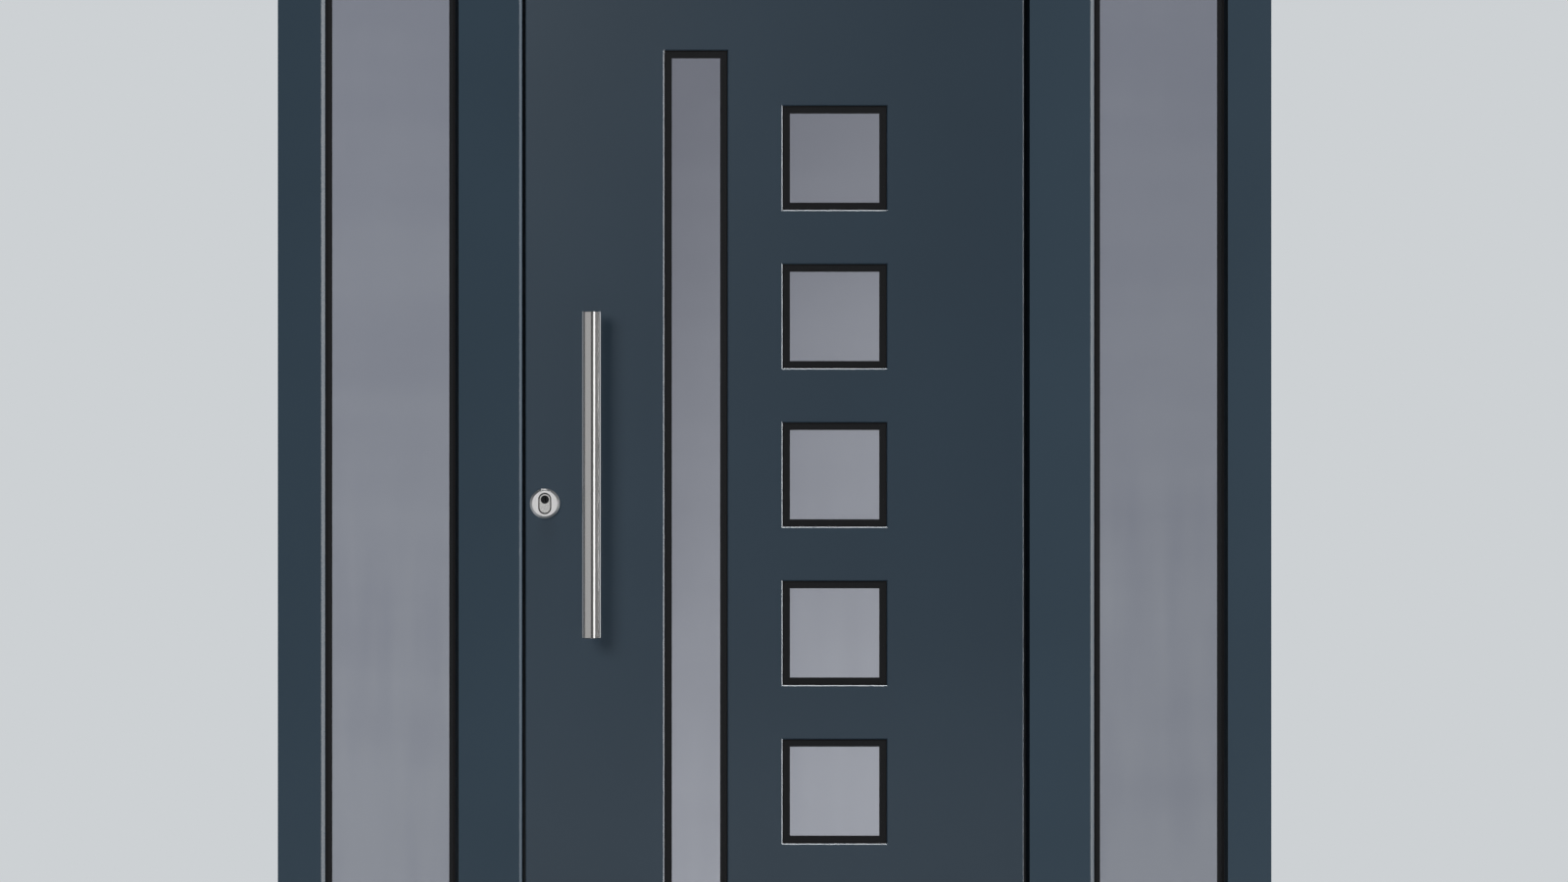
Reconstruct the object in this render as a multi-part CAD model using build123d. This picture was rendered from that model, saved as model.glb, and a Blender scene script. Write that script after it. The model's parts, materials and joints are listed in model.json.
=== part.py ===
from build123d import *

import os

# Double-glazed entrance door set: a hinged leaf with six windows between two fixed sidelights,
# in one frame of thermally broken aluminium sections.
# Millimetres. X runs to the right seen from outside, Y into the building, Z up.
# The origin is on the underside of the threshold, at mid-width and mid-depth of the frame.

# Frame
FRAME_HEIGHT = 2100.0
FRAME_DEPTH = 75.0
JAMB_FACE = 80.0
MULLION_FACE = 112.0
SIDELIGHT_OPENING = 253.0
DOOR_OPENING = 940.0
LIP_BEVEL = 6.5
LIP_THICKNESS = 14.0
REBATE = 18.0
PROFILE_WALL = 2.2
BREAK_FRONT = 28.0
BREAK_BACK = 50.0
GROOVE_CENTRE = 47.5
GROOVE_WIDTH = 24.4
GROOVE_DEPTH = 3.0
ANCHOR_HOLE = 10.5
ANCHOR_SPACING = 1500.0

# Threshold and seals
THRESHOLD_PLATE = 3.0
THRESHOLD_SLOPE = 6.0
TREAD_GROOVE = 4.0
TREAD_DEPTH = 1.0
TREAD_COUNT = 5
SEAL_HEIGHT = 4.0
SEAL_WIDTH = 8.0
SEAL_INSET = 2.5

# Sidelight glazing
GLASS_COVER = 10.0
GASKET_OUTER = 4.0
GASKET_SIGHT = 4.7
SPACER_SIGHT = 11.7
PANE_OUTER = 6.0
CAVITY = 16.0
PANE_INNER = 4.0
GASKET_INNER = 3.0
BEAD_HEIGHT = 22.0
BEAD_BEVEL = 6.0
BEAD_WALL = 1.6
BEAD_JOINT = 0.4

# Leaf
LEAF_GAP = 5.0
SKIN = 3.0
SKIN_BEVEL = 1.0
STILE_WIDTH = 60.0

# Leaf windows
SLOT_X = -145.0
SLOT_WIDTH = 116.6
SLOT_HEIGHT = 1563.0
SQUARE_X = 110.6
SQUARE_SIDE = 192.0
SQUARE_PITCH = 291.8
SQUARE_COUNT = 5
CUT_BEVEL = 1.8
WINDOW_COVER = 8.0
WINDOW_TAPE = 1.0
WINDOW_SPACER_SIGHT = 13.7
LINER_WALL = 3.0
LINER_FLANGE = 14.0
LINER_FLANGE_THICKNESS = 2.0

# Pull handle
PULL_INSET = 122.5
PULL_DIAMETER = 33.7
PULL_LENGTH = 600.0
PULL_STANDOFF = 62.0
PULL_POST_SPACING = 400.0
PULL_POST_DIAMETER = 20.0
PULL_COLLAR_DIAMETER = 28.0
PULL_COLLAR_THICKNESS = 5.0
PULL_COLLAR_BEVEL = 1.0
PULL_END_BEVEL = 1.2

# Lock
LOCK_INSET = 35.5
LOCK_DROP = 53.0
ROSETTE_DIAMETER = 55.0
ROSETTE_THICKNESS = 10.0
ROSETTE_BEVEL = 4.0
RECESS_WIDTH = 23.8
RECESS_HEIGHT = 39.4
GUARD_WIDTH = 19.8
GUARD_HEIGHT = 35.0
GUARD_FACE = 8.5
PLUG_DIAMETER = 15.2
PLUG_RISE = 7.3
PLUG_LENGTH = 40.0
PLUG_CLEARANCE = 0.06
KEYWAY_WIDTH = 2.4
KEYWAY_HEIGHT = 9.0
KEYWAY_DEPTH = 14.0
CYLINDER_ROUND = 17.0
CYLINDER_TAIL = 10.0
CYLINDER_DEPTH = 24.5
CYLINDER_FIT = 0.3
FACEPLATE_WIDTH = 24.0
FACEPLATE_LENGTH = 1700.0
BOLT_FIT = 0.4
STRIKE_MARGIN = 3.0
LATCH_SIZE = (12.0, 28.0)
DEADBOLT_SIZE = (14.0, 36.0)
HOOK_SIZE = (8.0, 50.0)
LATCH_RISE = 30.0
DEADBOLT_DROP = 40.0
HOOK_SPREAD = 620.0

# Inside lever
SPINDLE_RISE = 92.0
LEVER_PLATE_WIDTH = 38.0
LEVER_PLATE_HEIGHT = 240.0
LEVER_PLATE_THICKNESS = 8.0
LEVER_PLATE_BEVEL = 1.5
LEVER_HUB = 24.0
LEVER_HUB_HEIGHT = 9.0
LEVER_DIAMETER = 19.0
LEVER_LENGTH = 128.0
LEVER_STANDOFF = 60.0
LEVER_END_BEVEL = 2.5

# Hinges
HINGE_HEIGHT = 150.0
HINGE_OFFSET = 16.5
HINGE_INSET = 200.0
BARREL_DIAMETER = 22.0
PIN_DIAMETER = 12.0
PIN_CLEARANCE = 0.06
KNUCKLE_GAP = 1.0
HINGE_PLATE_WIDTH = 36.0
HINGE_PLATE_THICKNESS = 4.0
HINGE_PLATE_START = 16.0
HINGE_PLATE_CORNER = 5.0
HINGE_WEB = 14.0

# Lines that follow from the sizes above
OUT = -FRAME_DEPTH / 2
MULLION_X = (DOOR_OPENING + MULLION_FACE) / 2
FRAME_EDGE = DOOR_OPENING / 2 + MULLION_FACE + SIDELIGHT_OPENING + JAMB_FACE
JAMB_LIP = JAMB_FACE + LIP_BEVEL
JAMB_BODY = JAMB_LIP - REBATE
MULLION_LIP = MULLION_FACE / 2 + LIP_BEVEL
MULLION_BODY = MULLION_LIP - REBATE
DOOR_LIP = MULLION_X - MULLION_LIP
DOOR_BODY = MULLION_X - MULLION_BODY
HEAD_LIP = FRAME_HEIGHT - JAMB_LIP
HEAD_BODY = FRAME_HEIGHT - JAMB_BODY
GROOVE_FRONT = GROOVE_CENTRE - GROOVE_WIDTH / 2
GROOVE_BACK = GROOVE_CENTRE + GROOVE_WIDTH / 2

LEAF_EDGE = DOOR_LIP - LEAF_GAP
LEAF_TOP = HEAD_LIP - LEAF_GAP
FLANGE_EDGE = DOOR_BODY - LEAF_GAP
FLANGE_TOP = HEAD_BODY - LEAF_GAP
FLANGE_BOTTOM = THRESHOLD_PLATE + LEAF_GAP
LEAF_BOTTOM = FLANGE_BOTTOM + REBATE
LEAF_MIDDLE = (LEAF_BOTTOM + LEAF_TOP) / 2
FLANGE_FRONT = LIP_THICKNESS + SEAL_HEIGHT + LEAF_GAP
LEAF_BACK = FRAME_DEPTH - SKIN
THRESHOLD_HEIGHT = LEAF_BOTTOM - LEAF_GAP

PULL_X = PULL_INSET - LEAF_EDGE
LOCK_X = LOCK_INSET - LEAF_EDGE
LOCK_Z = LEAF_MIDDLE - LOCK_DROP
PLUG_Z = LOCK_Z + PLUG_RISE
SPINDLE_Z = PLUG_Z + SPINDLE_RISE
HINGE_X = (FLANGE_EDGE + DOOR_BODY) / 2
HINGE_Y = FRAME_DEPTH / 2 + HINGE_OFFSET

RIGHT = Vector(1, 0, 0)
LEFT = Vector(-1, 0, 0)
UP = Vector(0, 0, 1)
DOWN = Vector(0, 0, -1)
INWARD = Vector(0, 1, 0)


def into(face, x, z, start, stop):
    """A face drawn in X and Z, placed at (x, z) and drawn out between two depths from outside."""
    plane = Plane(origin=(x, OUT + start, z), x_dir=RIGHT, z_dir=-INWARD)
    return extrude(plane * face, amount=stop - start, dir=INWARD)


def ring(outer, inner, x, z, start, stop):
    """A rectangular ring between two depths, outer and inner given as (width, height)."""
    return into(Rectangle(*outer) - Rectangle(*inner), x, z, start, stop)


def bar(section, origin, across, length):
    """A length of a section whose first axis runs along across and whose second runs inward."""
    along = across.cross(INWARD)
    plane = Plane(origin=(origin[0], OUT, origin[1]), x_dir=across, z_dir=along)
    return extrude(plane * section, amount=length, dir=along)


def mitred(solid, x, z, toward):
    """Cut a bar at 45 degrees through (x, z) and keep the side that toward points to."""
    return split(solid, Plane(origin=(x, 0, z), z_dir=(toward[0], 0, toward[1])), Keep.TOP)


def chamber(u0, u1, v0, v1):
    """A rectangular hollow in a section."""
    return Pos((u0 + u1) / 2, (v0 + v1) / 2) * Rectangle(u1 - u0, v1 - v0)


def chamber_rows(u0, u1, front, back):
    """Three hollows one behind the other, parted by the two webs of the thermal break."""
    half = PROFILE_WALL / 2
    rows = [
        (front + PROFILE_WALL, BREAK_FRONT - half),
        (BREAK_FRONT + half, BREAK_BACK - half),
        (BREAK_BACK + half, back - PROFILE_WALL),
    ]
    return [chamber(u0, u1, v0, v1) for v0, v1 in rows]


def body_side(edge, lip):
    """Half of a frame section's outline, from the bevel of its lip round to its inner face."""
    return [
        (lip - LIP_BEVEL, 0),
        (lip, LIP_BEVEL),
        (lip, LIP_THICKNESS),
        (edge, LIP_THICKNESS),
        (edge, GROOVE_FRONT),
        (edge - GROOVE_DEPTH, GROOVE_FRONT),
        (edge - GROOVE_DEPTH, GROOVE_BACK),
        (edge, GROOVE_BACK),
        (edge, FRAME_DEPTH),
    ]


# Sections
lip_hollow = (PROFILE_WALL, LIP_THICKNESS - PROFILE_WALL)
jamb_wall = JAMB_BODY - GROOVE_DEPTH - PROFILE_WALL
jamb_outline = Polygon((0, 0), *body_side(JAMB_BODY, JAMB_LIP), (0, FRAME_DEPTH), align=None)
jamb_section = jamb_outline - chamber_rows(PROFILE_WALL, jamb_wall, 0, FRAME_DEPTH)
jamb_section -= chamber(JAMB_BODY, JAMB_FACE, *lip_hollow)

mullion_side = body_side(MULLION_BODY, MULLION_LIP)
mullion_mirror = [(-u, v) for u, v in reversed(mullion_side)]
mullion_wall = MULLION_BODY - GROOVE_DEPTH - PROFILE_WALL
mullion_outline = Polygon(*mullion_side, *mullion_mirror, align=None)
mullion_section = mullion_outline - chamber_rows(-mullion_wall, mullion_wall, 0, FRAME_DEPTH)
mullion_section -= chamber(MULLION_BODY, MULLION_FACE / 2, *lip_hollow)
mullion_section -= chamber(-MULLION_FACE / 2, -MULLION_BODY, *lip_hollow)

stile_end = REBATE + STILE_WIDTH
stile_outline = Polygon(
    (REBATE, SKIN),
    (stile_end, SKIN),
    (stile_end, LEAF_BACK),
    (0, LEAF_BACK),
    (0, GROOVE_BACK),
    (GROOVE_DEPTH, GROOVE_BACK),
    (GROOVE_DEPTH, GROOVE_FRONT),
    (0, GROOVE_FRONT),
    (0, FLANGE_FRONT),
    (REBATE, FLANGE_FRONT),
    align=None,
)
stile_hollows = chamber_rows(REBATE + PROFILE_WALL, stile_end - PROFILE_WALL, SKIN, LEAF_BACK)
stile_section = stile_outline - stile_hollows

threshold_section = Polygon(
    (0, 0),
    (THRESHOLD_HEIGHT - THRESHOLD_SLOPE, 0),
    (THRESHOLD_HEIGHT, THRESHOLD_SLOPE),
    (THRESHOLD_HEIGHT, LIP_THICKNESS),
    (THRESHOLD_PLATE, LIP_THICKNESS),
    (THRESHOLD_PLATE, FRAME_DEPTH),
    (0, FRAME_DEPTH),
    align=None,
)
tread_step = (FRAME_DEPTH - LIP_THICKNESS) / (TREAD_COUNT + 1)
for index in range(TREAD_COUNT):
    tread = LIP_THICKNESS + tread_step * (index + 1)
    threshold_section -= Pos(THRESHOLD_PLATE, tread) * Rectangle(2 * TREAD_DEPTH, TREAD_GROOVE)

bead_front = LIP_THICKNESS + GASKET_OUTER + PANE_OUTER + CAVITY + PANE_INNER + GASKET_INNER
bead_outline = Polygon(
    (0, bead_front),
    (BEAD_HEIGHT, bead_front),
    (BEAD_HEIGHT, FRAME_DEPTH - BEAD_BEVEL),
    (BEAD_HEIGHT - BEAD_BEVEL, FRAME_DEPTH),
    (0, FRAME_DEPTH),
    align=None,
)
bead_section = bead_outline - chamber(
    BEAD_WALL, BEAD_HEIGHT - BEAD_BEVEL, bead_front + BEAD_WALL, FRAME_DEPTH - BEAD_WALL
)

seal_front = SEAL_WIDTH / 2
seal_section = Pos(0, LIP_THICKNESS) * (
    Pos(0, SEAL_HEIGHT / 4) * Rectangle(SEAL_WIDTH, SEAL_HEIGHT / 2)
    + Pos(0, SEAL_HEIGHT / 2) * (Rectangle(SEAL_WIDTH, SEAL_HEIGHT) & Ellipse(seal_front, SEAL_HEIGHT / 2))
)

nodes = {}

# Frame bars: mitred outer corners, mullions and sill rails coped over the lips they meet
nodes["left_jamb"] = bar(jamb_section, (-FRAME_EDGE, 0), RIGHT, FRAME_HEIGHT)
nodes["left_jamb"] = mitred(nodes["left_jamb"], -FRAME_EDGE, FRAME_HEIGHT, (-1, -1))
nodes["left_jamb"] = mitred(nodes["left_jamb"], -FRAME_EDGE, 0, (-1, 1))
nodes["right_jamb"] = bar(jamb_section, (FRAME_EDGE, FRAME_HEIGHT), LEFT, FRAME_HEIGHT)
nodes["right_jamb"] = mitred(nodes["right_jamb"], FRAME_EDGE, FRAME_HEIGHT, (1, -1))
nodes["right_jamb"] = mitred(nodes["right_jamb"], FRAME_EDGE, 0, (1, 1))
for name, side in (("left_jamb", -1), ("right_jamb", 1)):
    for rise in (-ANCHOR_SPACING / 2, ANCHOR_SPACING / 2):
        drill = Plane(origin=(side * FRAME_EDGE, 0, FRAME_HEIGHT / 2 + rise), z_dir=(-side, 0, 0))
        nodes[name] -= extrude(drill * Circle(ANCHOR_HOLE / 2), amount=JAMB_BODY)

head = bar(jamb_section, (-FRAME_EDGE, FRAME_HEIGHT), DOWN, 2 * FRAME_EDGE)
head = mitred(head, -FRAME_EDGE, FRAME_HEIGHT, (1, 1))
nodes["head"] = mitred(head, FRAME_EDGE, FRAME_HEIGHT, (-1, 1))
head_block = bar(jamb_outline, (-FRAME_EDGE, FRAME_HEIGHT), DOWN, 2 * FRAME_EDGE)
rail_length = FRAME_EDGE - MULLION_X - MULLION_BODY
threshold = bar(threshold_section, (DOOR_BODY, 0), UP, 2 * DOOR_BODY)
for name, side, rail_end in (
    ("left", -1, -MULLION_X - MULLION_BODY),
    ("right", 1, FRAME_EDGE),
):
    mullion_block = bar(mullion_outline, (side * MULLION_X, 0), RIGHT, HEAD_BODY)
    nodes[f"{name}_mullion"] = bar(mullion_section, (side * MULLION_X, 0), RIGHT, HEAD_BODY) - head_block
    rail = bar(jamb_section, (rail_end, 0), UP, rail_length)
    rail = mitred(rail, side * FRAME_EDGE, 0, (-side, -1))
    nodes[f"{name}_sill_rail"] = rail - mullion_block
    threshold -= mullion_block
nodes["threshold"] = threshold

# Stop seals round the door opening
seal_line = DOOR_LIP + SEAL_INSET + SEAL_WIDTH / 2
seal_top = HEAD_LIP + SEAL_INSET + SEAL_WIDTH / 2
seal_foot = THRESHOLD_HEIGHT - SEAL_INSET - SEAL_WIDTH / 2
seal_rise = seal_top - seal_foot - SEAL_WIDTH - 2 * BEAD_JOINT
seal_start = seal_foot + SEAL_WIDTH / 2 + BEAD_JOINT
nodes["frame_seal"] = Compound(
    children=[
        bar(seal_section, (-seal_line, seal_start), RIGHT, seal_rise),
        bar(seal_section, (seal_line, seal_start), RIGHT, seal_rise),
        bar(seal_section, (-seal_line, seal_top), DOWN, 2 * seal_line),
        bar(seal_section, (DOOR_LIP, seal_foot), UP, 2 * DOOR_LIP),
    ]
)

# Sidelights: gasket, pane, spacer, pane, gasket and four beads in each rebate
light_x = (FRAME_EDGE - JAMB_LIP + MULLION_X + MULLION_LIP) / 2
light_z = (JAMB_LIP + HEAD_LIP) / 2
light_size = (FRAME_EDGE - JAMB_LIP - MULLION_X - MULLION_LIP, HEAD_LIP - JAMB_LIP)


def grown(size, margin):
    """A (width, height) with the same margin added on every side."""
    return (size[0] + 2 * margin, size[1] + 2 * margin)


def bead(x, z, size, across):
    """A glazing bead on the side of a rebate that across points away from, mitred at both ends."""
    along = across.cross(INWARD)
    run = abs(along.X) * size[0] + abs(along.Z) * size[1]
    rise = abs(across.X) * size[0] + abs(across.Z) * size[1]
    foot = Vector(x, 0, z) - across * (rise / 2)
    start = foot - along * (run / 2)
    solid = bar(bead_section, (start.X, start.Z), across, run)
    for way in (along, -along):
        corner = foot - way * (run / 2 - BEAD_JOINT)
        toward = way - across
        solid = mitred(solid, corner.X, corner.Z, (toward.X, toward.Z))
    return solid


glass_size = grown(light_size, GLASS_COVER)
floor_size = grown(light_size, REBATE)
for name, side in (("left", -1), ("right", 1)):
    x = side * light_x
    outer_front = LIP_THICKNESS + GASKET_OUTER
    spacer_front = outer_front + PANE_OUTER
    inner_front = spacer_front + CAVITY
    inner_back = inner_front + PANE_INNER
    nodes[f"{name}_outer_pane"] = into(Rectangle(*glass_size), x, light_z, outer_front, spacer_front)
    nodes[f"{name}_spacer"] = ring(
        glass_size, grown(light_size, -SPACER_SIGHT), x, light_z, spacer_front, inner_front
    )
    nodes[f"{name}_inner_pane"] = into(Rectangle(*glass_size), x, light_z, inner_front, inner_back)
    gasket_hole = grown(light_size, -GASKET_SIGHT)
    nodes[f"{name}_glazing_gaskets"] = Compound(
        children=[
            ring(glass_size, gasket_hole, x, light_z, LIP_THICKNESS, outer_front),
            ring(glass_size, gasket_hole, x, light_z, inner_back, bead_front),
        ]
    )
    nodes[f"{name}_glazing_beads"] = Compound(
        children=[bead(x, light_z, floor_size, across) for across in (UP, DOWN, RIGHT, LEFT)]
    )

# Leaf frame: four mitred lengths
stile_length = FLANGE_TOP - FLANGE_BOTTOM
lock_stile = bar(stile_section, (-FLANGE_EDGE, FLANGE_BOTTOM), RIGHT, stile_length)
hinge_stile = bar(stile_section, (FLANGE_EDGE, FLANGE_TOP), LEFT, stile_length)
top_rail = bar(stile_section, (-FLANGE_EDGE, FLANGE_TOP), DOWN, 2 * FLANGE_EDGE)
bottom_rail = bar(stile_section, (FLANGE_EDGE, FLANGE_BOTTOM), UP, 2 * FLANGE_EDGE)
for side in (-1, 1):
    top_rail = mitred(top_rail, side * FLANGE_EDGE, FLANGE_TOP, (-side, 1))
    bottom_rail = mitred(bottom_rail, side * FLANGE_EDGE, FLANGE_BOTTOM, (-side, -1))
lock_stile = mitred(lock_stile, -FLANGE_EDGE, FLANGE_TOP, (-1, -1))
lock_stile = mitred(lock_stile, -FLANGE_EDGE, FLANGE_BOTTOM, (-1, 1))
hinge_stile = mitred(hinge_stile, FLANGE_EDGE, FLANGE_TOP, (1, -1))
hinge_stile = mitred(hinge_stile, FLANGE_EDGE, FLANGE_BOTTOM, (1, 1))

# Leaf skins with their cut-outs, and the cylinder's hole through skins and lock stile
windows = [(SLOT_X, LEAF_MIDDLE, (SLOT_WIDTH, SLOT_HEIGHT))]
for index in range(SQUARE_COUNT):
    rise = (index - (SQUARE_COUNT - 1) / 2) * SQUARE_PITCH
    windows.append((SQUARE_X, LEAF_MIDDLE + rise, (SQUARE_SIDE, SQUARE_SIDE)))

cylinder_face = Pos(0, PLUG_RISE) * Circle(CYLINDER_ROUND / 2)
tail_length = CYLINDER_DEPTH + CYLINDER_TAIL / 2
tail_middle = PLUG_RISE - CYLINDER_DEPTH + tail_length / 2
cylinder_face += Pos(0, tail_middle) * SlotOverall(tail_length, CYLINDER_TAIL, rotation=90)
cylinder_hole = into(offset(cylinder_face, CYLINDER_FIT), LOCK_X, LOCK_Z, -SKIN, FRAME_DEPTH + SKIN)

outer_skin = into(Rectangle(2 * LEAF_EDGE, LEAF_TOP - LEAF_BOTTOM), 0, LEAF_MIDDLE, 0, SKIN)
flange_middle = (FLANGE_BOTTOM + FLANGE_TOP) / 2
inner_skin = into(Rectangle(2 * FLANGE_EDGE, stile_length), 0, flange_middle, LEAF_BACK, FRAME_DEPTH)
for x, z, size in windows:
    outer_skin -= into(Rectangle(*size), x, z, -SKIN, 2 * SKIN)
    liner_size = grown(size, LINER_WALL)
    inner_skin -= into(Rectangle(*liner_size), x, z, LEAF_BACK - SKIN, FRAME_DEPTH + SKIN)
front = outer_skin.faces().sort_by(Axis.Y)[0]
outer_skin = chamfer(front.inner_wires().edges(), CUT_BEVEL)
front = outer_skin.faces().sort_by(Axis.Y)[0]
outer_skin = chamfer(front.outer_wire().edges(), SKIN_BEVEL)
nodes["leaf_outer_skin"] = outer_skin - cylinder_hole
nodes["leaf_inner_skin"] = inner_skin - cylinder_hole
nodes["lock_stile"] = lock_stile - cylinder_hole
nodes["hinge_stile"] = hinge_stile
nodes["top_rail"] = top_rail
nodes["bottom_rail"] = bottom_rail

# Leaf windows: tape, pane, spacer and pane behind the outer skin, a liner behind them
tape_back = SKIN + WINDOW_TAPE
pane_back = tape_back + PANE_OUTER
spacer_back = pane_back + CAVITY
glass_back = spacer_back + PANE_INNER
stacks = {"tapes": [], "outer_panes": [], "spacers": [], "inner_panes": [], "liners": []}
for x, z, size in windows:
    glass = grown(size, WINDOW_COVER)
    sight = grown(size, -WINDOW_SPACER_SIGHT)
    stacks["tapes"].append(ring(glass, size, x, z, SKIN, tape_back))
    stacks["outer_panes"].append(into(Rectangle(*glass), x, z, tape_back, pane_back))
    stacks["spacers"].append(ring(glass, sight, x, z, pane_back, spacer_back))
    stacks["inner_panes"].append(into(Rectangle(*glass), x, z, spacer_back, glass_back))
    liner = ring(grown(size, LINER_WALL), size, x, z, glass_back, FRAME_DEPTH)
    liner_edge = FRAME_DEPTH + LINER_FLANGE_THICKNESS
    liner += ring(grown(size, LINER_FLANGE), size, x, z, FRAME_DEPTH, liner_edge)
    stacks["liners"].append(liner)
for name, pieces in stacks.items():
    nodes[f"leaf_window_{name}"] = Compound(children=pieces)

# Pull handle: a round bar on two posts
pull_plane = Plane(origin=(PULL_X, OUT - PULL_STANDOFF, LEAF_MIDDLE), z_dir=UP)
pull = extrude(pull_plane * Circle(PULL_DIAMETER / 2), amount=PULL_LENGTH / 2, both=True)
pull = chamfer(pull.edges().filter_by(GeomType.CIRCLE), PULL_END_BEVEL)
for side in (-1, 1):
    post_z = LEAF_MIDDLE + side * PULL_POST_SPACING / 2
    pull += into(Circle(PULL_POST_DIAMETER / 2), PULL_X, post_z, -PULL_STANDOFF, 0)
    collar = into(Circle(PULL_COLLAR_DIAMETER / 2), PULL_X, post_z, -PULL_COLLAR_THICKNESS, 0)
    pull += chamfer(collar.edges().group_by(Axis.Y)[0], PULL_COLLAR_BEVEL)
nodes["pull_handle"] = pull

# Lock: bevelled rosette, cylinder with its guard, and the plug the key turns
rosette = into(Circle(ROSETTE_DIAMETER / 2), LOCK_X, LOCK_Z, -ROSETTE_THICKNESS, 0)
rosette = chamfer(rosette.edges().group_by(Axis.Y)[0], ROSETTE_BEVEL)
recess = SlotOverall(RECESS_HEIGHT, RECESS_WIDTH, rotation=90)
rosette -= into(recess, LOCK_X, LOCK_Z, -2 * ROSETTE_THICKNESS, ROSETTE_THICKNESS)
nodes["escutcheon"] = rosette

lever_plate_face = FRAME_DEPTH + LEVER_PLATE_THICKNESS
cylinder = into(cylinder_face, LOCK_X, LOCK_Z, 0, lever_plate_face + SKIN)
guard = SlotOverall(GUARD_HEIGHT, GUARD_WIDTH, rotation=90)
cylinder += into(guard, LOCK_X, LOCK_Z, -GUARD_FACE, 0)
plug_bore = Circle(PLUG_DIAMETER / 2 + PLUG_CLEARANCE)
cylinder -= into(plug_bore, LOCK_X, PLUG_Z, -2 * GUARD_FACE, PLUG_LENGTH - GUARD_FACE)
nodes["lock_cylinder"] = cylinder
plug = into(Circle(PLUG_DIAMETER / 2), LOCK_X, PLUG_Z, -GUARD_FACE, PLUG_LENGTH - GUARD_FACE)
keyway = Rectangle(KEYWAY_WIDTH, KEYWAY_HEIGHT)
plug -= into(keyway, LOCK_X, PLUG_Z, -2 * GUARD_FACE, KEYWAY_DEPTH - GUARD_FACE)
nodes["cylinder_plug"] = plug

# Lock edge: faceplate and bolts on the leaf, strike plate on the mullion
bolt_rows = [
    (SPINDLE_Z + LATCH_RISE, LATCH_SIZE),
    (LOCK_Z - DEADBOLT_DROP, DEADBOLT_SIZE),
    (LOCK_Z + HOOK_SPREAD, HOOK_SIZE),
    (LOCK_Z - HOOK_SPREAD, HOOK_SIZE),
]


def edge_plate(face, z, x, thickness):
    """A face drawn in Y and Z on the line of the grooves, drawn out from x to the right."""
    plane = Plane(origin=(x, OUT + GROOVE_CENTRE, z), x_dir=INWARD, z_dir=RIGHT)
    return extrude(plane * face, amount=thickness, dir=RIGHT)


plate_face = RectangleRounded(FACEPLATE_WIDTH, FACEPLATE_LENGTH, FACEPLATE_WIDTH / 3)
faceplate = edge_plate(plate_face, LEAF_MIDDLE, -FLANGE_EDGE, GROOVE_DEPTH)
strike = edge_plate(plate_face, LEAF_MIDDLE, -DOOR_BODY - GROOVE_DEPTH, GROOVE_DEPTH)
bolts = []
for z, size in bolt_rows:
    faceplate -= edge_plate(Rectangle(*size), z, -FLANGE_EDGE, GROOVE_DEPTH)
    bolt_face = Rectangle(*grown(size, -BOLT_FIT))
    bolts.append(edge_plate(bolt_face, z, -FLANGE_EDGE, GROOVE_DEPTH))
    strike_face = Rectangle(*grown(size, STRIKE_MARGIN))
    strike -= edge_plate(strike_face, z, -DOOR_BODY - GROOVE_DEPTH, GROOVE_DEPTH)
nodes["lock_faceplate"] = faceplate
nodes["lock_bolts"] = Compound(children=bolts)
nodes["strike_plate"] = strike

# Inside lever, neck and grip joined at a mitre, on its long plate
plate_z = (LOCK_Z + SPINDLE_Z) / 2
plate_face = RectangleRounded(LEVER_PLATE_WIDTH, LEVER_PLATE_HEIGHT, LEVER_PLATE_WIDTH / 3)
lever_plate = into(plate_face, LOCK_X, plate_z, FRAME_DEPTH, lever_plate_face)
lever_plate = chamfer(lever_plate.edges().group_by(Axis.Y)[-1], LEVER_PLATE_BEVEL)
nodes["lever_plate"] = lever_plate - into(
    offset(cylinder_face, CYLINDER_FIT), LOCK_X, LOCK_Z, LEAF_BACK, lever_plate_face + SKIN
)
lever_round = Circle(LEVER_DIAMETER / 2)
lever_depth = FRAME_DEPTH + LEVER_STANDOFF
lever_mitre = Plane(origin=(LOCK_X, OUT + lever_depth, SPINDLE_Z), z_dir=(1, 1, 0))
neck = into(lever_round, LOCK_X, SPINDLE_Z, lever_plate_face, lever_depth + LEVER_DIAMETER)
grip_plane = Plane(origin=lever_mitre.origin - RIGHT * LEVER_DIAMETER, z_dir=RIGHT)
grip = extrude(grip_plane * lever_round, amount=LEVER_DIAMETER + LEVER_LENGTH)
grip = chamfer(grip.edges().sort_by(Axis.X)[-1], LEVER_END_BEVEL)
lever = split(neck, lever_mitre, Keep.BOTTOM) + split(grip, lever_mitre, Keep.TOP)
lever += into(
    Circle(LEVER_HUB / 2), LOCK_X, SPINDLE_Z, lever_plate_face, lever_plate_face + LEVER_HUB_HEIGHT
)
nodes["inner_lever"] = lever

# Barrel hinges on the inside: the pin is fast in the frame wing's two knuckles
knuckle = (HINGE_HEIGHT - 2 * KNUCKLE_GAP) / 3


def barrel(radius, low, high):
    """A round upright on the hinge line between two heights."""
    plane = Plane(origin=(HINGE_X, HINGE_Y, low), z_dir=UP)
    return extrude(plane * Circle(radius), amount=high - low)


def block(x0, x1, y0, y1, z0, z1):
    """A box between two corners."""
    return Pos((x0 + x1) / 2, (y0 + y1) / 2, (z0 + z1) / 2) * Box(x1 - x0, y1 - y0, z1 - z0)


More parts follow.
